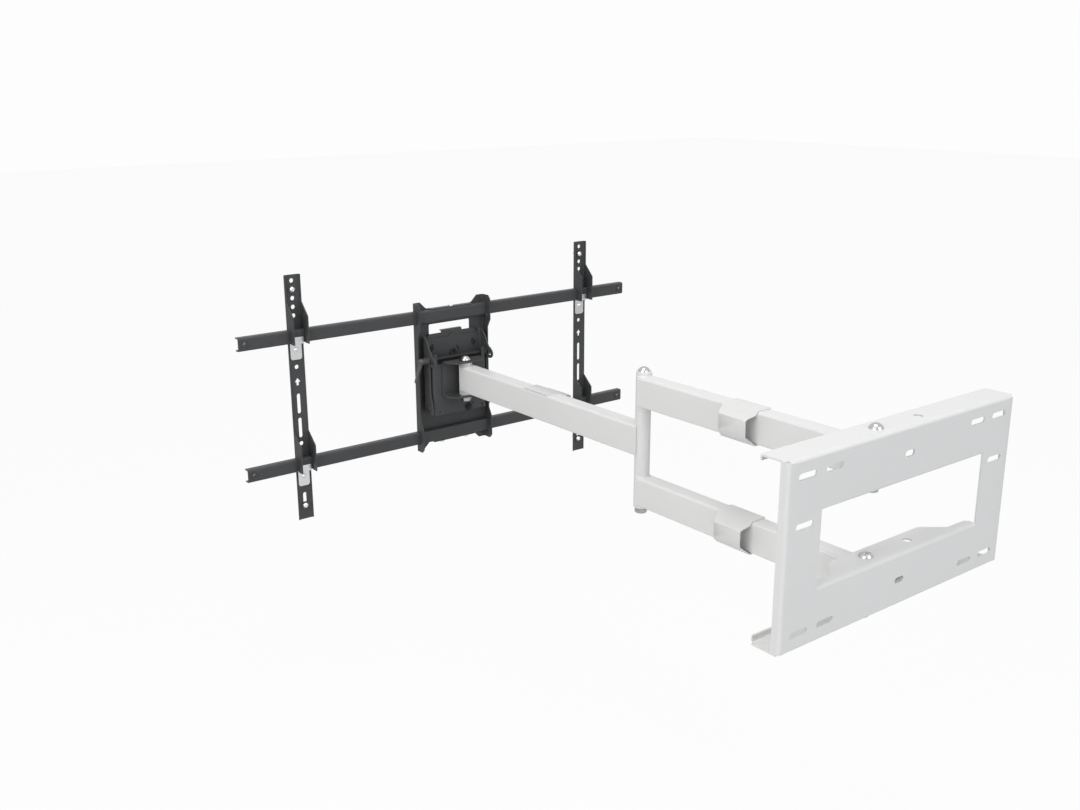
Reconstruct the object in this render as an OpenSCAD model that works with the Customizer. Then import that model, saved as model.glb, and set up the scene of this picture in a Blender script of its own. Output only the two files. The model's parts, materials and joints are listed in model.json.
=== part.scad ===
// Long-reach wall arm for a flat screen: folded wall plate, double first arm, forearm,
// swivel and tilt head, two cross rails and two hook-on screen brackets.
// Millimetres. X runs along the wall, Y out into the room, Z up.
// The origin is the centre of the wall plate's back face.

/* [Wall plate] */
// Width of the wall plate along the wall
plate_width = 477; // [420:1:520]
// Height of the wall plate
plate_height = 252; // [240:1:280]
// Sheet thickness of the wall plate
plate_sheet = 2.5; // [2:0.1:4]
// Reach of the top and bottom flanges
flange_reach = 49; // [44:1:56]
// Reach of both tongues inside the window
tongue_reach = 42; // [36:1:50]
// Height of the lip folded along each flange's edge
lip_height = 10; // [6:0.5:14]
// Depth of the side flanges
side_depth = 13; // [8:0.5:18]
// Width of the window between the tongues
window_width = 346; // [320:1:360]
// Height of the window between the tongues
window_height = 102; // [96:1:106]
// Distance between the outer stud slots
stud_pitch = 406.4; // [380:0.1:420]
// Distance between the inner stud slots
inner_stud_pitch = 304.8; // [280:0.1:310]
// Height between the top and bottom slot rows
slot_rows = 207; // [200:1:212]
// Height of the single slots at the plate's middle above the centre
mid_slot_height = 39.3; // [30:0.1:42]
// Length of a stud slot, end to end
slot_length = 33; // [20:0.5:40]
// Width of every slot in the wall plate
slot_width = 8.7; // [6:0.1:10]
// Length of the two centre slots
centre_slot_length = 19.5; // [12:0.5:24]
// Height between the two centre slots
centre_slot_rows = 178; // [170:1:190]

/* [Arms] */
// Sideways place of the arm's pivot, also of the head
pivot_x = -45; // [-60:1:-30]
// Distance of the first pivot from the wall
pivot_reach = 23; // [21:0.5:26]
// Length of the first arm, pivot to pivot
arm_length = 434; // [300:1:500]
// Length of the forearm, pivot to pivot
forearm_length = 498; // [360:1:560]
// Height of each first-arm tube
arm_high = 48; // [40:1:50]
// Thickness of each first-arm tube
arm_thick = 29; // [28:0.5:32]
// Height of each first-arm tube's centre above or below the plate's centre
arm_offset = 82.5; // [80:0.5:86]
// Height of the forearm tube
forearm_high = 50; // [40:1:52]
// Thickness of the forearm tube
forearm_thick = 30; // [28:0.5:31]
// Height of the forearm tube's centre
forearm_z = 1.5; // [-2:0.5:3]
// Wall of every arm tube
tube_wall = 2; // [1.5:0.1:3]
// Outer corner radius of the arm tubes
tube_corner = 4; // [3:0.5:6]
// Outside diameter of the welded pivot sleeves
sleeve_diameter = 24.8; // [24:0.1:26]
// Diameter of the pivot bolts
pivot_bolt = 12; // [10:1:12]
// Diameter of the pivot bolts' domed heads
pivot_head = 20; // [18:0.5:21]
// Thickness of each bushing's flange
bushing_flange = 1; // [0.8:0.1:1.5]
// Length of each bushing's barrel
bushing_barrel = 12; // [8:1:16]

/* [Cable clips] */
// Wall of the plastic cable clips
clip_wall = 1.8; // [1.2:0.1:2.5]
// Length of a cable clip
clip_length = 66; // [50:1:80]
// Distance of the first-arm clips from the wall pivot
arm_clip_place = 186; // [100:1:300]
// Distance of the forearm clip from the elbow
forearm_clip_place = 227; // [100:1:350]

/* [Head] */
// Sheet of the head's black brackets
head_sheet = 2.5; // [2:0.1:3]
// Half width of the fork's ears at the web
fork_half = 42; // [36:1:48]
// Half width over the swivel bracket's cheeks
swivel_half = 61; // [56:0.5:62]
// Half width over the tilt bracket's cheeks
tilt_half = 67; // [65:0.5:72]
// Height of the tilt pivot
tilt_pivot_z = -56; // [-60:1:-50]
// Distance from the tilt pivot up to the clamp bolt
tilt_radius = 95; // [90:1:100]
// Distance of the tilt pivot in front of the head's swivel axis
tilt_pivot_reach = 28; // [26:0.5:30]
// Largest forward tilt in degrees
tilt_forward = 10; // [5:1:12]
// Largest backward tilt in degrees
tilt_back = 2; // [1:1:3]
// Diameter of the tilt and clamp bolts
tilt_bolt = 8; // [6:1:8]
// Height of the levelling rivet
level_z = 44; // [40:1:50]
// Diameter of the hollow levelling rivet
level_rivet = 12; // [10:1:14]
// Half width over the interface plate's flanges
interface_half = 81; // [76:1:90]
// Sheet of the interface plate and the screen brackets
bracket_sheet = 2.2; // [2:0.1:3]
// Width of the window in the interface plate
interface_window = 93.6; // [60:0.1:100]

/* [Rails] */
// Half length of the cross rails
rail_half = 435; // [380:1:460]
// Height of a rail
rail_high = 24; // [20:1:28]
// Depth of a rail
rail_deep = 12; // [10:0.5:14]
// Sheet of a rail
rail_sheet = 2; // [1.5:0.1:2.5]
// Half the distance between the two rails' centres
rail_offset = 118; // [110:1:130]
// Height of the head's centre
head_z = 2; // [0:1:4]

/* [Screen brackets] */
// Half the distance between the two screen brackets
bracket_place = 324.2; // [110:0.1:396]
// Half width of a screen bracket
bracket_half = 15; // [13:0.5:18]
// Half height of a screen bracket
bracket_high = 226; // [224:1:300]
// Height between the two screen screws
screw_pitch = 400; // [300:1:420]
// Length that a screen screw stands out behind the bracket
screw_reach = 15; // [8:1:30]
// Travel of a lock clip
clip_travel = 12; // [8:0.5:13]

/* [Clearances] */
// Radial running clearance of a bushing on its bolt
running = 0.05; // [0.02:0.01:0.1]
// Radial clearance of a bolt in a plain hole
hole_gap = 0.15; // [0.05:0.05:0.5]
// Side clearance of a rail in the cut-outs round it
rail_gap = 0.5; // [0.3:0.1:1]

/* [Colours] */
// White powder coat of the wall plate and arms
white_paint = "#e6e6e4";
// Satin black of the head, rails and brackets
black_paint = "#2b2c2e";
// Bright nickel of the pivot bolts
nickel = "#d5d6d8";
// Zinc of the lock clips and small fasteners
zinc = "#b9bcc0";
// White plastic of the cable clips and bushings
white_plastic = "#f1f1ef";

/* [Hidden] */
$fa = 9;
$fs = 0.8;
eps = 0.01;
bolt_r = pivot_bolt / 2;
sleeve_r = sleeve_diameter / 2;
bushing_r = sleeve_r - 2.4;
plate_bend = plate_sheet * 1.5;
tongue_z = window_height / 2;
flange_z = plate_height / 2;
elbow_y = pivot_reach + arm_length;
head_y = elbow_y + forearm_length;
wall_sleeve_low = tongue_z + plate_sheet + bushing_flange;
wall_sleeve_high = flange_z - plate_sheet - bushing_flange;
// the forearm's column at the elbow, and the sleeves of both arms that it stands between
column_low = -55.5;
column_high = 49.5;
elbow_top = 114;
elbow_bottom = -111.5;
// the head's sleeve and the fork's ears
head_sleeve_low = -30;
head_sleeve_high = 32.5;
ear_high = head_sleeve_high + bushing_flange;
ear_low = head_sleeve_low - bushing_flange;
fork_face = head_y + 16.5;
swivel_face = fork_face + head_sheet;
tilt_y = head_y + tilt_pivot_reach;
clamp_z = tilt_pivot_z + tilt_radius;
tilt_lobe = [tilt_y - tilt_radius * sin(tilt_forward), tilt_pivot_z + tilt_radius * cos(tilt_forward)];
rod_r = tilt_bolt / 2;
tilt_face = tilt_y + 14.5;
level_face = tilt_face + head_sheet;
plate_face = level_face + 7.3;
screen_face = plate_face + bracket_sheet;
rail_front = plate_face - rail_deep;
rail_top = head_z + rail_offset;
rail_low = head_z - rail_offset;
rail_side = rail_high / 2;
lip_out = 10;
level_r = level_rivet / 2;
level_arc = 50.3;
level_arc_angle = 17.35;
screw_r = 3;
neck_r = 2.65;
washer_gap = 0.1;

// Extrude a (y, z) outline from x = a to x = b
module along_x(a, b) {
  translate([a, 0, 0]) rotate([90, 0, 90]) linear_extrude(height = b - a) children();
}

// Extrude an (x, z) outline from y = a to y = b
module along_y(a, b) {
  translate([0, b, 0]) rotate([90, 0, 0]) linear_extrude(height = b - a) children();
}

// Extrude an (x, y) outline from z = a to z = b
module along_z(a, b) {
  translate([0, 0, a]) linear_extrude(height = b - a) children();
}

// A round bar along Z, X or Y
module bar_z(r, a, b) {
  translate([0, 0, a]) cylinder(r = r, h = b - a);
}

module bar_x(r, a, b) {
  translate([a, 0, 0]) rotate([0, 90, 0]) cylinder(r = r, h = b - a);
}

module bar_y(r, a, b) {
  translate([0, b, 0]) rotate([90, 0, 0]) cylinder(r = r, h = b - a);
}

// A ring along Z
module ring_z(outer, inner, a, b) {
  along_z(a, b) difference() {
    circle(r = outer);
    circle(r = inner);
  }
}

// A hexagon, measured across its flats
module hexagon(flats) {
  circle(r = flats / 2 / cos(30), $fn = 6);
}

// A slot with round ends, lying along its first axis
module slot(length, width) {
  square([length - width, width], center = true);
  for (s = [-1, 1]) translate([s * (length - width) / 2, 0]) circle(d = width);
}

// A slot bent round a centre, from one angle to the other
function polar(r, a) = r * [cos(a), sin(a)];

module arc_slot(radius, from, to, width) {
  w = width / 2;
  bow = (to - from) / 6;
  polygon(concat(
    [for (i = [0 : 6]) polar(radius + w, from + bow * i)],
    [for (i = [1 : 5]) polar(radius, to) + polar(w, to + 30 * i)],
    [for (i = [6 : -1 : 0]) polar(radius - w, from + bow * i)],
    [for (i = [1 : 5]) polar(radius, from) + polar(w, from + 180 + 30 * i)]));
}

// A rectangle with round corners
module round_box(wide, high, corner) {
  square([wide - 2 * corner, high], center = true);
  square([wide, high - 2 * corner], center = true);
  for (a = [-1, 1], b = [-1, 1]) {
    translate([a * (wide / 2 - corner), b * (high / 2 - corner)]) circle(r = corner);
  }
}

// The section of a rectangular tube
module tube_section(wide, high) {
  difference() {
    round_box(wide, high, tube_corner);
    round_box(wide - 2 * tube_wall, high - 2 * tube_wall, tube_corner - tube_wall);
  }
}

// How much of each side a bend takes at corner i of a path
function bend_cut(path, i, bend) =
  let (a = path[i] - path[i - 1], b = path[i + 1] - path[i])
  let (turn = acos(max(-1, min(1, (a * b) / norm(a) / norm(b)))))
  bend * tan(turn / 2);

// The point beside corner i of a path, half the sheet away from its middle line
function beside(path, i, off) =
  let (last = len(path) - 1)
  let (a = path[max(i, 1)] - path[max(i, 1) - 1])
  let (b = path[min(i, last - 1) + 1] - path[min(i, last - 1)])
  let (u = a / norm(a), v = b / norm(b))
  let (m = [-u[1], u[0]] + [-v[1], v[0]])
  path[i] + m * 2 * off / (m * m);

// The section of a moulded plastic strip, its corners mitred
module mitred_strip(path, thick) {
  last = len(path) - 1;
  polygon(concat([for (i = [0 : last]) beside(path, i, thick / 2)],
    [for (i = [last : -1 : 0]) beside(path, i, -thick / 2)]));
}

// The section of a bent sheet: a middle line, each corner bent to a radius on that line
module strip(path, thick, bend) {
  last = len(path) - 1;
  for (i = [0 : last - 1]) {
    run = path[i + 1] - path[i];
    ahead = run / norm(run);
    from = i == 0 ? 0 : bend_cut(path, i, bend);
    to = i == last - 1 ? 0 : bend_cut(path, i + 1, bend);
    translate(path[i] + ahead * from) rotate(atan2(ahead[1], ahead[0])) translate([0, -thick / 2])
      square([norm(run) - from - to, thick]);
  }
  for (i = [1 : last - 1]) {
    u = (path[i] - path[i - 1]) / norm(path[i] - path[i - 1]);
    v = (path[i + 1] - path[i]) / norm(path[i + 1] - path[i]);
    side = sign(u[0] * v[1] - u[1] * v[0]);
    cut = bend_cut(path, i, bend);
    middle = path[i] - u * cut + side * bend * [-u[1], u[0]];
    one = path[i] - u * cut - middle;
    two = path[i] + v * cut - middle;
    far = 3 * (bend + thick) / bend;
    translate(middle) intersection() {
      difference() {
        circle(r = bend + thick / 2);
        if (bend > thick / 2 + eps) circle(r = bend - thick / 2);
      }
      polygon([[0, 0], one * far, (one + two) * far, two * far]);
    }
  }
}

// A domed bolt head standing up from z = 0
module dome_head(r, h) {
  big = (r * r + h * h) / (2 * h);
  rotate_extrude() intersection() {
    translate([0, h - big]) circle(r = big);
    square([r, h]);
  }
}

// A pivot bolt with its head on top of z = seat and its end at z = end
module pivot_bolt_shape(seat, end) {
  translate([0, 0, seat]) dome_head(pivot_head / 2, 7.6);
  bar_z(bolt_r, end, seat + eps);
}

// A pivot nut from z = a to z = b
module pivot_nut(a, b) {
  along_z(a, b) difference() {
    hexagon(18);
    circle(r = bolt_r + running);
  }
}

// A flanged bushing: the flange stands at z = 0 on the side away from the barrel
module bushing(up) {
  a = up ? 0 : -bushing_flange;
  ring_z(sleeve_r - 0.4, bolt_r + running, a, a + bushing_flange);
  b = up ? -bushing_barrel : 0;
  ring_z(bushing_r, bolt_r + running, b, b + bushing_barrel);
}

// Both bushings of a sleeve that runs from z = a to z = b
module bushing_pair(a, b) {
  translate([0, 0, b]) bushing(true);
  translate([0, 0, a]) bushing(false);
}

module wall_holes() {
  along_y(-1, plate_sheet + 1) {
    for (a = [-1, 1], b = [-1, 1]) {
      translate([a * stud_pitch / 2, b * slot_rows / 2]) slot(slot_length, slot_width);
      translate([a * inner_stud_pitch / 2, b * slot_rows / 2]) slot(slot_length, slot_width);
    }
    for (a = [-1, 1]) {
      translate([a * stud_pitch / 2, mid_slot_height]) slot(slot_length, slot_width);
      translate([0, a * centre_slot_rows / 2]) slot(centre_slot_length, slot_width);
    }
  }
  for (a = [-1, 1]) {
    translate([a * pivot_x, pivot_reach, 0]) bar_z(bolt_r + hole_gap, -flange_z - 1, flange_z + 1);
  }
}

// One tongue, folded out of the sheet at the window's edge
module tongue() {
  half = window_width / 2;
  middle = tongue_z + plate_sheet / 2;
  along_x(-half, half) strip([[plate_sheet / 2, middle + 8], [plate_sheet / 2, middle],
    [plate_bend * 2, middle]], plate_sheet, plate_bend);
  along_z(tongue_z, tongue_z + plate_sheet) polygon([
    [-half, 5], [-half, 11.4], [6 - half, 16], [-129, 16], [-97, tongue_reach],
    [97, tongue_reach], [129, 16], [half - 6, 16], [half, 11.4], [half, 5]]);
}

module wall_plate() {
  half = plate_width / 2;
  inset = plate_bend + plate_sheet / 2;
  edge = flange_reach - plate_sheet / 2;
  high = flange_z - plate_sheet / 2;
  color(white_paint) difference() {
    union() {
      difference() {
        along_x(inset - half, half - inset) strip([
          [edge, lip_height - flange_z], [edge, -high], [plate_sheet / 2, -high],
          [plate_sheet / 2, high], [edge, high], [edge, flange_z - lip_height]],
          plate_sheet, plate_bend);
        opening = tongue_z + plate_sheet / 2 + plate_bend;
        along_y(-1, plate_sheet + 1) square([window_width, 2 * opening], center = true);
      }
      for (m = [0, 1]) mirror([0, 0, m]) {
        tongue();
        translate([0, 0, flange_z - plate_sheet]) linear_extrude(height = plate_sheet)
          polygon([[-half, inset], [-half, edge - 4], [6 - half, edge - 2], [half - 6, edge - 2],
            [half, edge - 4], [half, inset]]);
      }
      for (m = [0, 1]) mirror([m, 0, 0]) {
        along_z(2.2 - flange_z, flange_z - 2.2) strip([
          [half - plate_sheet / 2, side_depth], [half - plate_sheet / 2, plate_sheet / 2],
          [half - 12, plate_sheet / 2]], plate_sheet, plate_bend);
      }
    }
    wall_holes();
  }
}

module wall_pivot_bolts() {
  color(nickel) translate([pivot_x, pivot_reach, 0]) {
    pivot_bolt_shape(flange_z, tongue_z - 11);
    pivot_bolt_shape(-tongue_z, -flange_z - 11);
  }
}

module wall_pivot_nuts() {
  color(nickel) translate([pivot_x, pivot_reach, 0]) {
    pivot_nut(tongue_z - 10, tongue_z);
    pivot_nut(-flange_z - 10, -flange_z);
  }
}

// A tube of the first arm with its two sleeves, the elbow sleeve from z = a to z = b
module arm_tube(side, a, b) {
  low = side > 0 ? wall_sleeve_low : -wall_sleeve_high;
  high = side > 0 ? wall_sleeve_high : -wall_sleeve_low;
  color(white_paint) translate([pivot_x, 0, 0]) difference() {
    union() {
      along_y(pivot_reach, elbow_y) translate([0, side * arm_offset])
        tube_section(arm_thick, arm_high);
      translate([0, pivot_reach, 0]) bar_z(sleeve_r, low, high);
      translate([0, elbow_y, 0]) bar_z(sleeve_r, a, b);
    }
    translate([0, pivot_reach, 0]) bar_z(bushing_r, low - 1, high + 1);
    translate([0, elbow_y, 0]) bar_z(bolt_r + hole_gap, a - 1, b + 1);
  }
}

module upper_arm_tube() {
  arm_tube(1, column_high + bushing_flange, elbow_top);
}

module lower_arm_tube() {
  arm_tube(-1, elbow_bottom, column_low - bushing_flange);
}

module wall_bushings() {
  color(white_plastic) translate([pivot_x, pivot_reach, 0]) {
    bushing_pair(wall_sleeve_low, wall_sleeve_high);
    bushing_pair(-wall_sleeve_high, -wall_sleeve_low);
  }
}

// A cable clip's section round a tube, its channel on the side of smaller x
module clip_section(wide, high) {
  w = wide / 2;
  t = high / 2 + clip_wall / 2;
  mitred_strip([[w - 0.5, t], [1 - w, t], [-w - 3, t - 5.1], [-w - 19, t - 7.3],
    [-w - 23.6, t - 9.7], [-w - 23.6, t - 32.1], [-w - 21.9, t - 35.2], [-w - 1, -t],
    [6.5 - w, -t]], clip_wall);
}

// A whole clip from y = 0, with the room end of its channel cut slanting
module clip_shape(wide, high) {
  difference() {
    along_y(0, clip_length) clip_section(wide, high);
    along_z(-high, high) polygon([[-wide / 2 - 1, clip_length + 1], [-wide / 2 - 1, clip_length],
      [-wide / 2 - 30, clip_length - 19], [-wide / 2 - 30, clip_length + 1]]);
  }
}

module upper_cable_clip() {
  color(white_plastic) translate([pivot_x, pivot_reach + arm_clip_place, arm_offset])
    clip_shape(arm_thick, arm_high);
}

module lower_cable_clip() {
  color(white_plastic) translate([pivot_x, pivot_reach + arm_clip_place, -arm_offset])
    clip_shape(arm_thick, arm_high);
}

module elbow_bolt() {
  color(nickel) translate([pivot_x, elbow_y, 0]) pivot_bolt_shape(elbow_top, elbow_bottom - 9.5);
}

module elbow_nut() {
  color(nickel) translate([pivot_x, elbow_y, 0]) pivot_nut(elbow_bottom - 9.5, elbow_bottom);
}

module forearm() {
  color(white_paint) translate([pivot_x, 0, 0]) difference() {
    union() {
      along_y(elbow_y, head_y) translate([0, forearm_z]) tube_section(forearm_thick, forearm_high);
      translate([0, elbow_y, 0]) bar_z(sleeve_r, column_low, column_high);
      translate([0, head_y, 0]) bar_z(sleeve_r, head_sleeve_low, head_sleeve_high);
    }
    translate([0, elbow_y, 0]) bar_z(bushing_r, column_low - 1, column_high + 1);
    translate([0, head_y, 0]) bar_z(bushing_r, head_sleeve_low - 1, head_sleeve_high + 1);
  }
}

module elbow_bushings() {
  color(white_plastic) translate([pivot_x, elbow_y, 0]) bushing_pair(column_low, column_high);
}

module head_bushings() {
  color(white_plastic) translate([pivot_x, head_y, 0])
    bushing_pair(head_sleeve_low, head_sleeve_high);
}

module forearm_cable_clip() {
  color(white_plastic) translate([pivot_x, elbow_y + forearm_clip_place, forearm_z])
    mirror([1, 0, 0]) clip_shape(forearm_thick, forearm_high);
}

module pivot_fork() {
  half = head_sheet / 2;
  nose = head_y - 17;
  color(black_paint) translate([pivot_x, 0, 0]) difference() {
    along_x(-fork_half, fork_half) strip([
      [nose, ear_high + half], [fork_face + half, ear_high + half],
      [fork_face + half, ear_low - half], [nose, ear_low - half]], head_sheet, head_sheet * 1.4);
    for (m = [0, 1]) mirror([m, 0, 0]) along_z(ear_low - 10, ear_high + 10) polygon([
      [fork_half - 15, nose], [fork_half + 1, head_y + 6.5], [fork_half + 1, nose - 1],
      [fork_half - 15, nose - 1]]);
    translate([0, head_y, 0]) bar_z(bolt_r + hole_gap, ear_low - 10, ear_high + 10);
  }
}

module head_pivot_bolt() {
  color(nickel) translate([pivot_x, head_y, 0]) {
    bar_z(12, ear_high + head_sheet, ear_high + head_sheet + 1.5);
    pivot_bolt_shape(ear_high + head_sheet + 1.5, ear_low - head_sheet - 11);
  }
}

module head_pivot_nut() {
  color(nickel) translate([pivot_x, head_y, 0])
    pivot_nut(ear_low - head_sheet - 10, ear_low - head_sheet);
}

// Where the head's crosswise bolts run, in the swivel bracket and the tilt bracket
module cross_bolt_holes(z, r) {
  translate([0, tilt_y, z]) bar_x(r, -tilt_half - 1, tilt_half + 1);
}

module swivel_bracket() {
  side = swivel_half - head_sheet / 2;
  web = swivel_face + head_sheet / 2;
  color(black_paint) translate([pivot_x, 0, 0]) difference() {
    along_z(-70, 50) strip([[-side, tilt_y + 8], [-side, web], [side, web], [side, tilt_y + 8]],
      head_sheet, head_sheet * 1.4);
    along_z(30, 51) translate([-swivel_half + 10, swivel_face - 1])
      square([2 * swivel_half - 20, 20]);
    along_x(-swivel_half - 1, swivel_half + 1) polygon([
      [tilt_y + 2, 51], [tilt_y + 9, 51], [tilt_y + 9, 42]]);
    along_x(-swivel_half - 1, swivel_half + 1) polygon([
      [tilt_y + 2, -71], [tilt_y + 9, -71], [tilt_y + 9, -60]]);
    cross_bolt_holes(tilt_pivot_z, rod_r + hole_gap);
    cross_bolt_holes(clamp_z, rod_r + hole_gap);
    translate([18, 0, -63.5]) bar_y(screw_r + hole_gap, swivel_face - 1, swivel_face + 5);
    along_y(swivel_face - 1, swivel_face + 5) {
      translate([-48, -63.5]) circle(r = 2);
      translate([29, -57.5]) circle(r = 1.5);
      translate([50.5, -65]) rotate(90) slot(8, 3);
    }
  }
}

module swivel_stop_screw() {
  color(black_paint) translate([pivot_x + 18, 0, -63.5]) {
    bar_y(screw_r, swivel_face - 5, swivel_face + head_sheet + eps);
    bar_y(5, swivel_face + head_sheet, swivel_face + head_sheet + 3);
    along_y(swivel_face - 4, swivel_face) difference() {
      hexagon(10);
      circle(r = screw_r - eps);
    }
  }
}

module tilt_pivot_bolt() {
  color(black_paint) translate([pivot_x, tilt_y, tilt_pivot_z]) {
    bar_x(rod_r, -tilt_half - eps, tilt_half + 7);
    translate([-tilt_half, 0, 0]) rotate([0, -90, 0]) dome_head(6.5, 4.5);
  }
}

module tilt_pivot_nut() {
  color(black_paint) translate([pivot_x, tilt_y, tilt_pivot_z]) along_x(tilt_half, tilt_half + 6.5)
    difference() {
      hexagon(13);
      circle(r = rod_r + running);
    }
}

module tilt_clamp_bolt() {
  color(black_paint) translate([pivot_x, tilt_y, clamp_z]) bar_x(rod_r, -tilt_half - 14, tilt_half + 11);
}

module tilt_clamp_nut() {
  color(black_paint) translate([pivot_x, tilt_y, clamp_z]) {
    difference() {
      union() {
        bar_x(9, tilt_half, tilt_half + 1.5);
        bar_x(8, tilt_half + 1.5, tilt_half + 10);
      }
      bar_x(rod_r + running, tilt_half - 1, tilt_half + 11);
    }
  }
}

module tilt_washers() {
  color(black_paint) translate([pivot_x, tilt_y, 0]) for (z = [tilt_pivot_z, clamp_z], m = [0, 1]) {
    translate([0, 0, z]) mirror([m, 0, 0]) along_x(swivel_half, tilt_half - head_sheet) difference() {
      circle(r = 7.5);
      circle(r = rod_r + hole_gap);
    }
  }
}

module tilt_lever() {
  color(black_paint) translate([pivot_x, tilt_y, clamp_z]) difference() {
    union() {
      bar_x(8, -tilt_half - 1.5, -tilt_half);
      bar_x(6, -tilt_half - 13, -tilt_half - 1);
      translate([-tilt_half - 14, 0, 0]) rotate([0, 180 + 20, 0]) {
        translate([0, 0, 3]) cylinder(r1 = 4, r2 = 2.8, h = 36);
        translate([0, 0, 39]) sphere(r = 2.8);
      }
      translate([-tilt_half - 14, 0, 0]) sphere(r = 6.2);
    }
    bar_x(rod_r + running, -tilt_half - 14.5, -tilt_half + 1);
  }
}

// The tilt bracket's side outline in (y, z)
module tilt_side() {
  lobe = tilt_lobe;
  back = level_face + 1;
  low = lobe[1] - 9.5;
  polygon(concat([[back, -68], [tilt_y - 9, -68], [tilt_y - 13, -62], [tilt_y - 13, -50],
    [tilt_y - 6, -25], [tilt_y - 6, low]],
    [for (a = [270 : -15 : 90]) lobe + 9.5 * [cos(a), sin(a)]],
    [[tilt_y - 13, 51], [tilt_y - 8, 58], [tilt_y - 1, 71], [tilt_y + 7, 80], [back, 84]]));
}

module tilt_bracket() {
  side = tilt_half - head_sheet / 2;
  web = tilt_face + head_sheet / 2;
  color(black_paint) translate([pivot_x, 0, 0]) difference() {
    intersection() {
      along_z(-68, 84) strip([[-side, tilt_y - 30], [-side, web], [side, web],
        [side, tilt_y - 30]], head_sheet, head_sheet * 1.5);
      along_x(-tilt_half - 1, tilt_half + 1) tilt_side();
    }
    along_y(tilt_face - 1, level_face + 1) {
      polygon([[7 - side, 76], [-10, 76], [0, 84.5], [10, 76], [side - 7, 76], [side - 7, 90],
        [7 - side, 90]]);
      translate([0, level_z]) circle(r = level_r + running);
      translate([0, level_z]) arc_slot(14.5, 5, 50, 2.2);
      for (m = [0, 1]) mirror([m, 0]) translate([0, level_z])
        arc_slot(level_arc, level_arc_angle - 5, level_arc_angle + 5, 2 * screw_r - 0.4);
    }
    cross_bolt_holes(tilt_pivot_z, rod_r + running);
    translate([0, tilt_y, tilt_pivot_z]) along_x(-tilt_half - 1, tilt_half + 1)
      arc_slot(tilt_radius, 90 - tilt_back - 0.3, 90 + tilt_forward + 0.3, tilt_bolt + 0.3);
  }
}

module level_plate() {
  color(black_paint) translate([pivot_x, 0, 0]) difference() {
    union() {
      along_y(level_face, level_face + head_sheet) difference() {
        polygon([[-58, 18], [58, 18], [58, 76], [50, 85], [-50, 85], [-58, 76]]);
        translate([0, level_z]) circle(r = level_r);
        for (m = [0, 1]) mirror([m, 0]) translate([0, level_z])
          translate(level_arc * [cos(level_arc_angle), sin(level_arc_angle)]) circle(r = 2.5);
      }
      along_x(-23.5, 23.5) strip([[level_face + head_sheet / 2, 84],
        [level_face + head_sheet / 2, 89], [level_face + 8, 89]], 1.6, 1.6);
    }
  }
}

module level_spacer() {
  color(black_paint) translate([pivot_x, 0, level_z]) along_y(level_face + head_sheet, plate_face)
    difference() {
      circle(r = 17);
      circle(r = level_r);
    }
}

module level_rivet_tube() {
  color(black_paint) translate([pivot_x, 0, level_z]) difference() {
    union() {
      bar_y(level_r, tilt_face - 0.5, screen_face);
      bar_y(8.5, tilt_face - 1.5, tilt_face);
    }
    bar_y(4, tilt_face - 2, screen_face + 1);
  }
}

module level_screws() {
  color(black_paint) for (m = [-1, 1]) {
    translate([pivot_x + m * level_arc * cos(level_arc_angle), 0,
      level_z + level_arc * sin(level_arc_angle)]) {
      bar_y(2.5, tilt_face - eps, level_face + head_sheet + 2);
      bar_y(4.2, tilt_face - 2.5, tilt_face);
    }
  }
}

// The interface plate's side outline in (y, z), about the head's centre
module interface_side() {
  back = screen_face + 1;
  polygon([[back, 145], [rail_front - 5, 145], [rail_front - 11.3, 138], [rail_front - 11.3, 98],
    [rail_front - 2.3, 82], [rail_front - 2.3, -82], [rail_front - 11.3, -98],
    [rail_front - 11.3, -138], [rail_front - 5, -145], [back, -145]]);
}

module interface_plate() {
  t = bracket_sheet;
  side = interface_half - t / 2;
  web = plate_face + t / 2;
  lip = rail_offset + rail_side;
  color(black_paint) translate([pivot_x, 0, head_z]) difference() {
    union() {
      difference() {
        intersection() {
          along_z(-145, 145) strip([[-side, rail_front - 12], [-side, web], [side, web],
            [side, rail_front - 12]], t, t * 1.4);
          along_x(-interface_half - 1, interface_half + 1) interface_side();
        }
        for (m = [0, 1]) mirror([0, 0, m]) along_y(plate_face - 3, screen_face + 1) polygon([
          [-65, 146], [-65, 145], [-52, lip + t], [-48, lip + t], [-48, lip - 2],
          [48, lip - 2], [48, lip + t], [52, lip + t], [65, 145], [65, 146]]);
      }
      for (m = [0, 1]) mirror([0, 0, m]) along_x(-47, 47) strip([
        [plate_face - lip_out, lip + t / 2], [web, lip + t / 2], [web, lip - 4]], t, t / 2);
    }
    for (a = [-1, 1], b = [-1, 1]) {
      translate([a * interface_half - 6, rail_front - rail_gap, b * rail_offset - rail_side - rail_gap])
        cube([12, rail_deep + rail_gap, rail_high + 2 * rail_gap]);
    }
    along_y(plate_face - 1, screen_face + 1) translate([0, 80.3])
      round_box(interface_window, 40.5, 3);
    translate([0, 0, level_z - head_z]) bar_y(level_r, plate_face - 1, screen_face + 1);
    translate([0, plate_face - 6, lip - 1]) bar_z(2.5 + hole_gap, 0, 6);
    for (m = [-1, 1]) translate([m * 28, plate_face - 6, -lip - 5]) bar_z(2.5 + hole_gap, 0, 6);
  }
}

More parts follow.
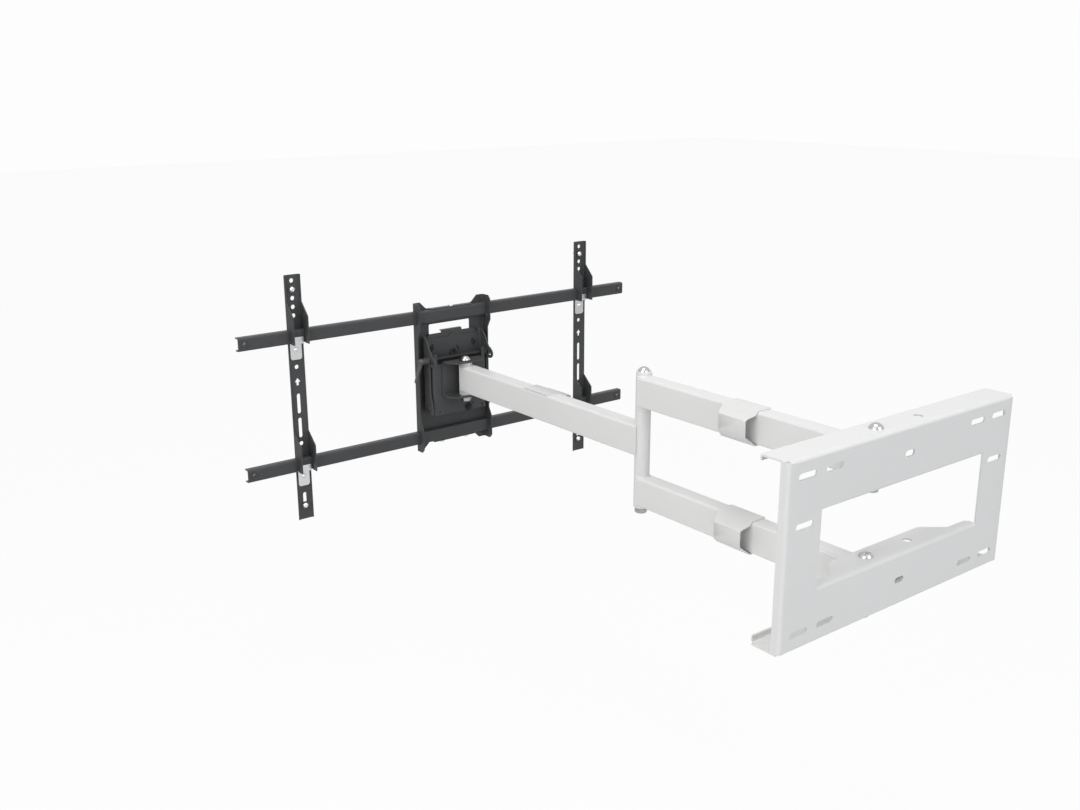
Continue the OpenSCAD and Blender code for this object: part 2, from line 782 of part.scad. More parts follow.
// A rail about z = centre, with the holes of its own screws
module rail(centre, up) {
  in = rail_sheet / 2;
  color(black_paint) translate([pivot_x, 0, centre]) difference() {
    along_x(-rail_half, rail_half) strip([
      [plate_face, rail_side - in], [rail_front + in, rail_side - in],
      [rail_front + in, in - rail_side], [plate_face, in - rail_side]], rail_sheet, 2.5);
    for (m = [-1, 1]) translate([m * (rail_half - 11.5), 0, 0])
      bar_y(screw_r, rail_front - 1, rail_front + 4);
    if (up) translate([0, plate_face - 6, rail_side - 3]) bar_z(2.5, 0, 5);
    if (!up) for (m = [-1, 1]) translate([m * 28, plate_face - 6, -rail_side - 2]) bar_z(2.5, 0, 5);
  }
}

module upper_rail() {
  rail(rail_top, true);
}

module lower_rail() {
  rail(rail_low, false);
}

module rail_screws() {
  seat = rail_offset + rail_side + bracket_sheet;
  color(zinc) translate([pivot_x, plate_face - 6, head_z]) {
    bar_z(2.5, seat - 7, seat + eps);
    bar_z(4.5, seat, seat + 2.5);
    for (m = [-1, 1]) translate([m * 28, 0, 0]) {
      bar_z(2.5, -seat - eps, -seat + 7);
      bar_z(4.5, -seat - 2.5, -seat);
    }
  }
}

module rail_stop_screws() {
  color(black_paint) for (m = [-1, 1], z = [rail_top, rail_low]) {
    translate([pivot_x + m * (rail_half - 11.5), rail_front - 1.2, z]) {
      bar_y(screw_r, -eps, 8);
      rotate([90, 0, 0]) dome_head(4.5, 3.2);
    }
  }
}

module rail_stop_washers() {
  color(black_paint) for (m = [-1, 1], z = [rail_top, rail_low]) {
    translate([pivot_x + m * (rail_half - 11.5), 0, z]) along_y(rail_front - 1.2, rail_front)
      difference() {
        circle(r = 6.35);
        circle(r = screw_r + washer_gap);
      }
  }
}

// The screen bracket's side outline in (y, z), about the head's centre
module bracket_side() {
  back = screen_face + 1;
  hook = plate_face - 26.3;
  polygon([[back, bracket_high], [plate_face - 4.3, bracket_high],
    [plate_face - 4.3, rail_offset + 60], [hook, rail_offset + 37], [hook, rail_offset - rail_side],
    [plate_face - 1.3, rail_offset - rail_side], [plate_face - 1.3, 60 - rail_offset],
    [hook, 37 - rail_offset], [hook, -rail_offset - rail_side],
    [plate_face - 1.3, -rail_offset - rail_side], [plate_face - 1.3, -bracket_high],
    [back, -bracket_high]]);
}

// The holes of a bracket's base in (x, z), about the head's centre
module bracket_holes() {
  for (z = [215.5, screw_pitch / 2, 184.5, 169, 153.5, 61, -81]) translate([0, z]) circle(r = 4);
  translate([0, -screw_pitch / 2 + 8.5]) rotate(90) slot(33, 7);
  translate([0, -6.5]) rotate(90) slot(37, 7);
  translate([0, -51.5]) rotate(90) slot(37, 7);
  polygon([[-6, 33], [0, 41], [6, 33], [2.5, 33], [2.5, 27], [-2.5, 27], [-2.5, 33]]);
  for (z = [rail_offset, -rail_offset]) translate([0, z - 25 - clip_travel / 2]) rotate(90)
    slot(clip_travel + 2 * screw_r + 0.2, 2 * screw_r + 0.2);
}

module tv_bracket(side) {
  t = bracket_sheet;
  flank = bracket_half - t / 2;
  web = plate_face + t / 2;
  color(black_paint) translate([pivot_x + side * bracket_place, 0, head_z]) difference() {
    intersection() {
      along_z(-bracket_high, bracket_high) strip([[-flank, plate_face - 28], [-flank, web],
        [flank, web], [flank, plate_face - 28]], t, t * 1.2);
      along_x(-bracket_half - 1, bracket_half + 1) bracket_side();
    }
    for (z = [rail_offset, -rail_offset]) {
      translate([-bracket_half - 1, rail_front - rail_gap, z - rail_side - 2])
        cube([2 * bracket_half + 2, rail_deep + rail_gap, rail_high + 2]);
      translate([0, 0, z - 25 - clip_travel / 2]) along_y(screen_face - 1.15, screen_face + 1)
        rotate(90) slot(clip_travel + 11.4, 11.4);
    }
    along_y(plate_face - 1, screen_face + 1) bracket_holes();
  }
}

module left_tv_bracket() {
  tv_bracket(-1);
}

module right_tv_bracket() {
  tv_bracket(1);
}

// The two screen screws of one bracket
module tv_screws(side) {
  color(zinc) for (m = [-1, 1]) {
    translate([pivot_x + side * bracket_place, plate_face - 1.5, head_z + m * screw_pitch / 2])
      difference() {
        union() {
          bar_y(neck_r, -eps, 1.5 + bracket_sheet + screw_reach);
          bar_y(screw_r, 1.5 + bracket_sheet + 0.2, 1.5 + bracket_sheet + screw_reach);
          rotate([90, 0, 0]) dome_head(5.2, 3.6);
        }
        along_y(-4, -2) hexagon(4);
      }
  }
}

// The two washers under one bracket's screen screws
module tv_washers(side) {
  color(black_paint) for (m = [-1, 1]) {
    translate([pivot_x + side * bracket_place, 0, head_z + m * screw_pitch / 2])
      along_y(plate_face - 1.5, plate_face) difference() {
        circle(r = 7.8);
        circle(r = screw_r + washer_gap);
      }
  }
}

module left_tv_screws() {
  tv_screws(-1);
}

module left_tv_washers() {
  tv_washers(-1);
}

module right_tv_screws() {
  tv_screws(1);
}

module right_tv_washers() {
  tv_washers(1);
}

// Put a lock clip's piece at one of the four rail crossings
module at_crossing(side, rail_z) {
  translate([pivot_x + side * bracket_place, 0, rail_z]) children();
}

module lock_clip(side, rail_z) {
  t = 1.5;
  front = rail_front - t / 2;
  shelf = -rail_side - t / 2;
  color(zinc) at_crossing(side, rail_z) difference() {
    along_x(-11, 11) strip([[plate_face - t / 2, -43.5], [plate_face - t / 2, shelf],
      [front, shelf], [front, -0.5]], t, t);
    for (m = [0, 1]) mirror([m, 0, 0]) {
      along_y(plate_face - t - 1, plate_face + 1) polygon([[8, -44.5], [8, -43.5], [11, -40.5],
        [12, -40.5], [12, -44.5]]);
      along_y(front - 2, front + 2) polygon([[10, -9], [10, 0], [12, 0], [12, -9]]);
    }
    translate([0, 0, -25]) bar_y(screw_r, plate_face - 3, plate_face + 1);
  }
}

module lock_screw(side, rail_z) {
  color(zinc) at_crossing(side, rail_z) translate([0, plate_face - 1.5, -25]) {
    bar_y(screw_r, -eps, 1.5 + bracket_sheet - 0.2);
    rotate([90, 0, 0]) dome_head(4.6, 2.8);
  }
}

module lock_nut(side, rail_z) {
  color(zinc) at_crossing(side, rail_z) translate([0, 0, -25])
    along_y(screen_face - 1.15, screen_face - 0.15) difference() {
      circle(r = 5.5);
      circle(r = screw_r);
    }
}

module left_upper_lock_clip() {
  lock_clip(-1, rail_top);
}

module left_upper_lock_screw() {
  lock_screw(-1, rail_top);
}

module left_upper_lock_nut() {
  lock_nut(-1, rail_top);
}

module left_lower_lock_clip() {
  lock_clip(-1, rail_low);
}

module left_lower_lock_screw() {
  lock_screw(-1, rail_low);
}

module left_lower_lock_nut() {
  lock_nut(-1, rail_low);
}

module right_upper_lock_clip() {
  lock_clip(1, rail_top);
}

module right_upper_lock_screw() {
  lock_screw(1, rail_top);
}

module right_upper_lock_nut() {
  lock_nut(1, rail_top);
}

module right_lower_lock_clip() {
  lock_clip(1, rail_low);
}

module right_lower_lock_screw() {
  lock_screw(1, rail_low);
}

module right_lower_lock_nut() {
  lock_nut(1, rail_low);
}

wall_plate();
wall_pivot_bolts();
wall_pivot_nuts();
upper_arm_tube();
lower_arm_tube();
wall_bushings();
upper_cable_clip();
lower_cable_clip();
elbow_bolt();
elbow_nut();
forearm();
elbow_bushings();
head_bushings();
forearm_cable_clip();
pivot_fork();
head_pivot_bolt();
head_pivot_nut();
swivel_bracket();
swivel_stop_screw();
tilt_pivot_bolt();
tilt_pivot_nut();
tilt_clamp_bolt();
tilt_clamp_nut();
tilt_washers();
tilt_lever();
tilt_bracket();
level_plate();
level_spacer();
level_rivet_tube();
level_screws();
interface_plate();
upper_rail();
lower_rail();
rail_screws();
rail_stop_screws();
rail_stop_washers();
left_tv_bracket();
left_tv_screws();
left_tv_washers();
right_tv_bracket();
right_tv_screws();
right_tv_washers();
left_upper_lock_clip();
left_upper_lock_screw();
left_upper_lock_nut();
left_lower_lock_clip();
left_lower_lock_screw();
left_lower_lock_nut();
right_upper_lock_clip();
right_upper_lock_screw();
right_upper_lock_nut();
right_lower_lock_clip();
right_lower_lock_screw();
right_lower_lock_nut();
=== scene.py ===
"""Dresses the long-reach wall arm: finishes, softened edges, turned bolts and weld beads.

Every piece stands in the same frame as the solids, in metres: X along the wall, Y out into
the room and Z up, with the origin at the middle of the wall plate's back face.
"""
from __future__ import annotations

import json
import logging
import math
from dataclasses import dataclass, field
from enum import Enum
from typing import Any, Callable, Iterable, Sequence

import bmesh
import bpy
from mathutils import Matrix, Vector

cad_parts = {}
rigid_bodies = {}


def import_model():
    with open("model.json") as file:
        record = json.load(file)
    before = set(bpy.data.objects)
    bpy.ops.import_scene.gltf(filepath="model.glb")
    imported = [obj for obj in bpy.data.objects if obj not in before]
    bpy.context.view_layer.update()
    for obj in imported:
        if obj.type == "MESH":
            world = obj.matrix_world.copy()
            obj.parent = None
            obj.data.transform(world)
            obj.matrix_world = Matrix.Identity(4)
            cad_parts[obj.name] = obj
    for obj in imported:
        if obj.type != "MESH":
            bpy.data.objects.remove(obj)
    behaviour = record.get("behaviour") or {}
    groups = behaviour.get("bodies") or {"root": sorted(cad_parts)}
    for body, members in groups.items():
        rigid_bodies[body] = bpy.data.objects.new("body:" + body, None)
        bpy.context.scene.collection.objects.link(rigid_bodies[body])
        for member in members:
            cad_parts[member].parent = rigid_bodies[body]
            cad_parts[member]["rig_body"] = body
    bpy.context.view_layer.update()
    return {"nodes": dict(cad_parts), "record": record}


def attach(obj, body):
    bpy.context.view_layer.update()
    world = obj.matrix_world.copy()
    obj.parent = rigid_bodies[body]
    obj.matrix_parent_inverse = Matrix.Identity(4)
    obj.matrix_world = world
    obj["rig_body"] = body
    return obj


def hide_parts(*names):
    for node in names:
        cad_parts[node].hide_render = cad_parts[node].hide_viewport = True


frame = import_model()

log = logging.getLogger("wall_arm")

MM = 0.001

# Places in millimetres that several sub-assemblies share.
PIVOT_X = -45.0
WALL_PIVOT_Y = 23.0
ELBOW_Y = 457.0
HEAD_Y = 955.0
TILT_Y = 983.0
RAIL_FRONT = 995.3
PLATE_FACE = 1007.3
BRACKET_PLACE = 324.2

# The nuts of the pivot bolts.
PIVOT_NUT_FLATS = 18.0
PIVOT_NUT_BORE = 6.05

# Points nearer than this are one point: in metres on a solid, in millimetres when turned.
SAME_POINT_M = 1e-6
SAME_POINT = 1e-3

# How far in millimetres a ring's radius may be off the profile's.
SAME_RADIUS = 2e-3


class Along(Enum):
    """The direction that a turned piece's axis points in."""

    UP = "+Z"
    DOWN = "-Z"
    TO_WALL = "-Y"
    TO_ROOM = "+Y"
    LEFT = "-X"
    RIGHT = "+X"

    def turn(self) -> Matrix:
        """Makes the turn from +Z.

        Returns:
            The turn that takes +Z to this direction.
        """
        half = math.pi / 2
        return {
            Along.UP: Matrix.Identity(4),
            Along.DOWN: Matrix.Rotation(math.pi, 4, "X"),
            Along.TO_WALL: Matrix.Rotation(half, 4, "X"),
            Along.TO_ROOM: Matrix.Rotation(-half, 4, "X"),
            Along.LEFT: Matrix.Rotation(-half, 4, "Y"),
            Along.RIGHT: Matrix.Rotation(half, 4, "Y"),
        }[self]


class Wire:
    """A node socket that shader maths can be written with."""

    def __init__(self, graph: Graph, socket: Any) -> None:
        """Keeps the graph and the socket.

        Args:
            graph: The node graph that new maths goes into.
            socket: The output socket.
        """
        self.graph = graph
        self.socket = socket

    def _maths(self, operation: str, first: Any, second: Any) -> Wire:
        """Returns the output of one new Math node."""
        return self.graph.add("ShaderNodeMath", {"operation": operation}, {0: first, 1: second})

    def __add__(self, other: Any) -> Wire:
        """Adds two values."""
        return self._maths("ADD", self, other)

    __radd__ = __add__

    def __sub__(self, other: Any) -> Wire:
        """Subtracts a value."""
        return self._maths("SUBTRACT", self, other)

    def __rsub__(self, other: Any) -> Wire:
        """Subtracts this from a value."""
        return self._maths("SUBTRACT", other, self)

    def __mul__(self, other: Any) -> Wire:
        """Multiplies two values."""
        return self._maths("MULTIPLY", self, other)

    __rmul__ = __mul__


class Graph:
    """The node tree of a material or a world, with one method that makes nodes."""

    def __init__(self, owner: bpy.types.Material | bpy.types.World) -> None:
        """Empties the owner's tree.

        Args:
            owner: The material or world.
        """
        owner.use_nodes = True
        self.owner = owner
        self.tree = owner.node_tree
        self.tree.nodes.clear()

    def add(
        self,
        kind: str,
        settings: dict[str, Any] | None = None,
        inputs: dict[Any, Any] | None = None,
        output: Any = 0,
    ) -> Wire | None:
        """Adds one node.

        Args:
            kind: The node's type.
            settings: Attributes to set on it first.
            inputs: Values or wires by socket name or number.
            output: The output socket that the wire returned stands for.

        Returns:
            The wire of that output, or nothing for a node without one.
        """
        node = self.tree.nodes.new(kind)
        for key, value in (settings or {}).items():
            setattr(node, key, value)
        for key, value in (inputs or {}).items():
            if isinstance(value, Wire):
                self.tree.links.new(value.socket, node.inputs[key])
            else:
                node.inputs[key].default_value = value
        return Wire(self, node.outputs[output]) if node.outputs else None


def grey(level: float) -> tuple[float, float, float, float]:
    """Returns an opaque grey colour."""
    return (level, level, level, 1.0)


@dataclass(frozen=True)
class Coat:
    """A surface finish: its colour and gloss, each a little uneven, and a fine texture.

    Attributes:
        name: The finish's name.
        colour: Middle colour.
        swing: How far the brightness wanders, as a share.
        rough: Middle roughness.
        rough_swing: How far the roughness wanders.
        metallic: Share of metal.
        grain: Cells of the fine texture in one metre.
        depth: Height of the fine texture in metres.
        specular: Specular level of the surface.
        cloud: Patches of uneven colour in one metre.
    """

    name: str
    colour: tuple[float, float, float]
    swing: float = 0.04
    rough: float = 0.4
    rough_swing: float = 0.06
    metallic: float = 0.0
    grain: float = 700.0
    depth: float = 0.00003
    specular: float = 0.5
    cloud: float = 11.0

    def build(self) -> bpy.types.Material:
        """Makes the material.

        Returns:
            The finished material.
        """
        graph = Graph(bpy.data.materials.new(self.name))
        place = graph.add("ShaderNodeTexCoord", output="Object")
        cloud = graph.add(
            "ShaderNodeTexNoise",
            inputs={"Vector": place, "Scale": self.cloud, "Detail": 3.0, "Roughness": 0.55},
            output="Fac",
        )
        fine = graph.add(
            "ShaderNodeTexNoise",
            inputs={"Vector": place, "Scale": self.grain, "Detail": 2.0, "Roughness": 0.5},
            output="Fac",
        )
        low = tuple(c * (1 - self.swing) for c in self.colour) + (1.0,)
        high = tuple(min(1.0, c * (1 + self.swing)) for c in self.colour) + (1.0,)
        tint = graph.add(
            "ShaderNodeMix",
            {"data_type": "RGBA"},
            {0: cloud, 6: low, 7: high},
            output=2,
        )
        gloss = (cloud - 0.5) * self.rough_swing + (fine - 0.5) * self.rough_swing + self.rough
        bump = graph.add(
            "ShaderNodeBump",
            inputs={"Strength": 0.6, "Distance": self.depth, "Height": fine},
        )
        surface = graph.add(
            "ShaderNodeBsdfPrincipled",
            inputs={
                "Base Color": tint,
                "Roughness": gloss,
                "Metallic": self.metallic,
                "Specular IOR Level": self.specular,
                "Normal": bump,
            },
        )
        graph.add("ShaderNodeOutputMaterial", inputs={"Surface": surface})
        return graph.owner


class Finishes:
    """Every finish of the arm, made once."""

    def __init__(self) -> None:
        """Makes the materials."""
        self.white = Coat(
            "white_powder_coat", (0.80, 0.80, 0.79), swing=0.015, rough=0.38, grain=900.0
        ).build()
        self.black = Coat(
            "black_powder_coat",
            (0.060, 0.061, 0.063),
            swing=0.12,
            rough=0.42,
            rough_swing=0.1,
            grain=1200.0,
            depth=0.00004,
            specular=0.34,
        ).build()
        self.nickel = Coat(
            "bright_nickel", (0.50, 0.50, 0.51), swing=0.06, rough=0.2, metallic=1.0, depth=0.00001
        ).build()
        self.zinc = Coat(
            "clear_zinc",
            (0.86, 0.86, 0.87),
            swing=0.05,
            rough=0.3,
            rough_swing=0.12,
            metallic=1.0,
            grain=400.0,
            depth=0.00002,
        ).build()
        self.plastic = Coat(
            "white_plastic", (0.76, 0.76, 0.75), swing=0.012, rough=0.3, grain=1500.0, depth=0.00001
        ).build()
        self.knob = Coat(
            "black_knob_enamel",
            (0.05, 0.05, 0.052),
            swing=0.08,
            rough=0.3,
            grain=1600.0,
            depth=0.00001,
        ).build()
        self.lever = Coat(
            "grey_lever_enamel",
            (0.075, 0.075, 0.078),
            swing=0.08,
            rough=0.34,
            grain=1600.0,
            depth=0.00001,
        ).build()
        self.dark_steel = Coat(
            "blackened_steel", (0.10, 0.10, 0.104), swing=0.1, rough=0.34, metallic=0.85
        ).build()
        # Near-black steel for the small screws, their nuts and the tilt pivot. On the clamp rod the
        # same near-black stands in for the shade under the tilt bracket's web, as painted shade.
        self.black_oxide_and_painted_shade = Coat(
            "black_oxide_and_painted_shade", (0.022, 0.022, 0.023), swing=0.15, rough=0.55, specular=0.3
        ).build()


@dataclass
class Workshop:
    """Turns bmeshes into finished pieces.

    Attributes:
        finishes: The materials.
        edge_steps: Faces across each rounded edge.
        flat_angle: The angle in degrees up to which faces are one flat face.
        turn_steps: Faces round a turned piece.
        corner_drop: Share of a nut's size by which its corners are turned down.
    """

    finishes: Finishes
    edge_steps: int = 2
    flat_angle: float = 0.5
    turn_steps: int = 48
    corner_drop: float = 0.07

    def piece(
        self,
        name: str,
        bm: bmesh.types.BMesh,
        material: bpy.types.Material,
        body: str,
        slot: str,
        stands_for: Iterable[str] = (),
        crease: float = 38.0,
    ) -> bpy.types.Object:
        """Makes an object of a bmesh and puts it on its body.

        Args:
            name: The piece's name.
            bm: Its shape in metres, which is freed.
            material: Its finish.
            body: The body that it moves with.
            slot: The record's material slot, which is not used.
            stands_for: The solids that it replaces.
            crease: The angle in degrees from which an edge stays sharp.

        Returns:
            The new object.
        """
        mesh = bpy.data.meshes.new(name)
        bm.to_mesh(mesh)
        bm.free()
        mesh.shade_smooth()
        mesh.set_sharp_from_angle(angle=math.radians(crease))
        mesh.materials.append(material)
        thing = bpy.data.objects.new(name, mesh)
        bpy.context.scene.collection.objects.link(thing)
        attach(thing, body)
        if stands_for:
            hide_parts(*stands_for)
        log.info("piece %s on %s, %d faces", name, body, len(mesh.polygons))
        return thing

    def softened(
        self,
        node: str,
        material: bpy.types.Material,
        slot: str,
        edge: float,
        crease: float = 30.0,
    ) -> bpy.types.Object:
        """Copies a solid, melts its flat faces together and rounds its sharp edges.

        Args:
            node: The solid's name, which the new piece replaces.
            material: Its finish.
            slot: The record's material slot.
            edge: Radius of the rounded edges in millimetres.
            crease: The angle in degrees from which an edge is rounded.

        Returns:
            The new object.
        """
        source = frame["nodes"][node]
        bm = bmesh.new()
        bm.from_mesh(source.data)
        bmesh.ops.remove_doubles(bm, verts=bm.verts, dist=SAME_POINT_M)
        bmesh.ops.dissolve_limit(
            bm, angle_limit=math.radians(self.flat_angle), verts=bm.verts, edges=bm.edges
        )
        thing = self.piece(
            node + "_dressed", bm, material, source["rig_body"], slot, (node,), crease
        )
        bevel = thing.modifiers.new("soft_edges", "BEVEL")
        bevel.width = edge * MM
        bevel.segments = self.edge_steps
        bevel.limit_method = "ANGLE"
        bevel.angle_limit = math.radians(crease)
        bevel.harden_normals = True
        return thing

    def turned(
        self,
        profile: Sequence[tuple[float, float]],
        steps: int,
        outlines: dict[float, Callable[[float], float]] | None = None,
    ) -> bmesh.types.BMesh:
        """Turns a profile round the Z axis.

        Args:
            profile: Points (radius, height) in millimetres from one end to the other.
            steps: Faces round the axis.
            outlines: For a radius of the profile, the function that gives the radius by
                angle that its ring takes instead, as on a hexagon.

        Returns:
            The closed shape, in millimetres.
        """
        bm = bmesh.new()
        points = [bm.verts.new((r, 0.0, z)) for r, z in profile]
        edges = [bm.edges.new(pair) for pair in zip(points, points[1:])]
        if profile[0][0] > 0:
            edges.append(bm.edges.new((points[-1], points[0])))
        bmesh.ops.spin(
            bm,
            geom=points + edges,
            cent=(0, 0, 0),
            axis=(0, 0, 1),
            angle=2 * math.pi,
            steps=steps,
            use_merge=True,
            use_duplicate=False,
        )
        for vert in bm.verts:
            radius = math.hypot(vert.co.x, vert.co.y)
            for nominal, outline in (outlines or {}).items():
                if abs(radius - nominal) < SAME_RADIUS:
                    scale = outline(math.atan2(vert.co.y, vert.co.x)) / radius
                    vert.co.x *= scale
                    vert.co.y *= scale
        bmesh.ops.remove_doubles(bm, verts=bm.verts, dist=SAME_POINT)
        bmesh.ops.recalc_face_normals(bm, faces=bm.faces)
        return bm

    def nut(self, flats: float, bore: float, low: float, high: float) -> bmesh.types.BMesh:
        """Makes a hexagonal nut along Z, with its corners turned down at both ends.

        Args:
            flats: Size across the flats in millimetres.
            bore: Radius of its hole.
            low: Lower end.
            high: Upper end.

        Returns:
            The shape, in millimetres.
        """
        half = flats / 2
        drop = self.corner_drop * flats
        face = half * 0.97
        profile = [
            (bore, low),
            (face, low),
            (half, low + drop),
            (half, high - drop),
            (face, high),
            (bore, high),
        ]
        return self.turned(profile, self.turn_steps, {half: hexagon(flats)})

    def washer(
        self,
        bore: float,
        rim: float,
        low: float,
        high: float,
        low_break: float = 0.3,
        top_break: float = 0.3,
        steps: int = 48,
    ) -> bmesh.types.BMesh:
        """Makes a washer along Z, with its rim's corners broken.

        Args:
            bore: Radius of its hole in millimetres.
            rim: Its outer radius.
            low: Its lower face.
            high: Its upper face.
            low_break: Size of the lower broken corner.
            top_break: Size of the upper broken corner.
            steps: Faces round the axis.

        Returns:
            The shape, in millimetres.
        """
        profile = [
            (bore, low),
            (rim - low_break, low),
            (rim, low + low_break),
            (rim, high - top_break),
            (rim - top_break, high),
            (bore, high),
        ]
        return self.turned(profile, steps)

    def merged(self, parts: Sequence[bmesh.types.BMesh]) -> bmesh.types.BMesh:
        """Puts several shapes into one.

        Args:
            parts: The shapes, which are freed.

        Returns:
            One shape that holds them all.
        """
        whole = bmesh.new()
        for part in parts:
            mesh = bpy.data.meshes.new("part")
            part.to_mesh(mesh)
            part.free()
            whole.from_mesh(mesh)
            bpy.data.meshes.remove(mesh)
        return whole

    def group(
        self,
        name: str,
        parts: Sequence[bmesh.types.BMesh],
        material: bpy.types.Material,
        body: str,
        slot: str,
        *stands_for: str,
    ) -> bpy.types.Object:
        """Makes one piece of several shapes.

        Args:
            name: The piece's name.
            parts: Its shapes in metres.
            material: Its finish.
            body: The body that it moves with.
            slot: The record's material slot.
            *stands_for: The solids that it replaces.

        Returns:
            The new object.
        """
        return self.piece(name, self.merged(parts), material, body, slot, stands_for)

    def placed(
        self, bm: bmesh.types.BMesh, at: tuple[float, float, float], along: Along = Along.UP
    ) -> bmesh.types.BMesh:
        """Turns and moves a shape, and takes it from millimetres to metres.

        Args:
            bm: The shape along Z, in millimetres.
            at: Where its origin goes, in millimetres.
            along: Where its axis points.

        Returns:
            The same shape, in metres.
        """
        bmesh.ops.transform(
            bm,
            matrix=Matrix.Scale(MM, 4) @ Matrix.Translation(at) @ along.turn(),
            verts=bm.verts,
        )
        return bm


def hexagon(flats: float) -> Callable[[float], float]:
    """Draws a hexagon.

    Args:
        flats: Size across its flats.

    Returns:
        Its radius by angle.
    """
    third = math.pi / 3
    return lambda angle: flats / 2 / math.cos((angle + third / 2) % third - third / 2)


def cross(reach: float, width: float) -> Callable[[float], float]:
    """Draws a cross-shaped recess.

    Args:
        reach: Radius of its arms.
        width: Width of its arms.

    Returns:
        Its radius by angle.
    """

    def radius(angle: float) -> float:
        """Returns the radius at one angle."""
        turn = abs((angle + math.pi / 4) % (math.pi / 2) - math.pi / 4)
        return min(reach, width / 2 / max(0.02, math.sin(turn)))

    return radius


def ribbed(outer: float, depth: float, count: int) -> Callable[[float], float]:
    """Draws a knob with ribs.

    Args:
        outer: Radius over the ribs.
        depth: Depth of the grooves between them.
        count: Number of ribs.

    Returns:
        Its radius by angle.
    """
    return lambda angle: outer - depth * (0.5 - 0.5 * math.cos(count * angle)) ** 2


class Drive(Enum):
    """The recess in a screw's head."""

    NONE = "none"
    HEX = "hexagon"
    CROSS = "cross"


@dataclass(frozen=True)
class Fastener:
    """A screw or bolt along +Z whose head stands on z = 0, in millimetres.

    Attributes:
        head: Radius of the head.
        rise: Height of the head.
        shank: Radius of the shank.
        length: Length of the shank.
        plain: Length of the shank without thread.
        pitch: Distance between the thread's crests.
        drive: The recess in the head.
        drive_size: Size of the recess: across the flats, or over the cross.
        drive_depth: Depth of the recess.
        flat: Whether the head is flat on top and not domed.
        rim_break: Broken edge of a flat head.
        crown_rings: Rings across the crown.
        lip: Flat round the recess, before the crown starts.
        dip: How much deeper the recess is at its middle.
    """

    head: float
    rise: float
    shank: float
    length: float
    plain: float = 1.0
    pitch: float = 1.0
    drive: Drive = Drive.NONE
    drive_size: float = 4.0
    drive_depth: float = 1.6
    flat: bool = False
    rim_break: float = 0.5
    crown_rings: int = 8
    lip: float = 0.25
    dip: float = 0.2

    def height(self, radius: float) -> float:
        """Measures the head's surface.

        Args:
            radius: Distance from the axis.

        Returns:
            The surface's height there.
        """
        if self.flat:
            return self.rise
        big = (self.head**2 + self.rise**2) / (2 * self.rise)
        return self.rise - big + math.sqrt(big**2 - radius**2)

    def profile(self) -> list[tuple[float, float]]:
        """Draws the outline that is turned.

        Returns:
            Its points from the crown to the shank's end.
        """
        inner = self.drive_size / 2
        if self.drive is Drive.NONE:
            points = [(0.0, self.rise)]
            inner = 0.0
        else:
            floor = self.height(0.0) - self.drive_depth
            points = [(0.0, floor - self.dip), (inner, floor), (inner, self.height(inner))]
        rim = self.head - (self.rim_break if self.flat else 0.0)
        start = inner + self.lip
        for i in range(1, self.crown_rings + 1):
            share = math.sin(math.pi / 2 * i / self.crown_rings)
            radius = start + (rim - start) * share
            points.append((radius, self.height(radius)))
        if self.flat:
            points.append((self.head, self.rise - self.rim_break))
        points.append((self.head, 0.0))
        points += [(self.shank, 0.0), (self.shank, -self.plain)]
        return points + self.thread()

    def thread(self) -> list[tuple[float, float]]:
        """Draws the thread, whose turns fall to the root and climb back to the crest.

        Returns:
            Its points from the plain shank to the shank's end.
        """
        count = int((self.length - self.plain) / self.pitch) - 1
        root = self.shank - 0.55 * self.pitch
        points: list[tuple[float, float]] = []
        for i in range(count):
            base = -self.plain - self.pitch * i
            points += [(root, base - 0.15 * self.pitch), (self.shank, base - 0.6 * self.pitch)]
        end = -self.length
        return points + [(root, end + 0.8 * self.pitch), (root - 0.2, end), (0.0, end)]

    def outlines(self) -> dict[float, Callable[[float], float]]:
        """Draws the recess.

        Returns:
            The outline by angle that the ring of its radius takes.
        """
        inner = self.drive_size / 2
        if self.drive is Drive.HEX:
            return {inner: hexagon(self.drive_size)}
        if self.drive is Drive.CROSS:
            return {inner: cross(inner, inner * 0.42)}
        return {}

    def build(
        self, shop: Workshop, at: tuple[float, float, float], along: Along
    ) -> bmesh.types.BMesh:
        """Makes the fastener where it belongs.

        Args:
            shop: The workshop.
            at: Where the head's seat lies, in millimetres.
            along: Where the head points.

        Returns:
            The shape, in metres.
        """
        shape = shop.turned(self.profile(), shop.turn_steps, self.outlines())
        return shop.placed(shape, at, along)


def pivot_bolt(length: float, thread: float) -> Fastener:
    """Sizes the domed bolt that every upright pivot turns on.

    Args:
        length: Length of its shank in millimetres.
        thread: Length of thread on it.

    Returns:
        The bolt.
    """
    plain = length - thread
    return Fastener(head=10.0, rise=7.6, shank=6.0, length=length, plain=plain, pitch=1.75)


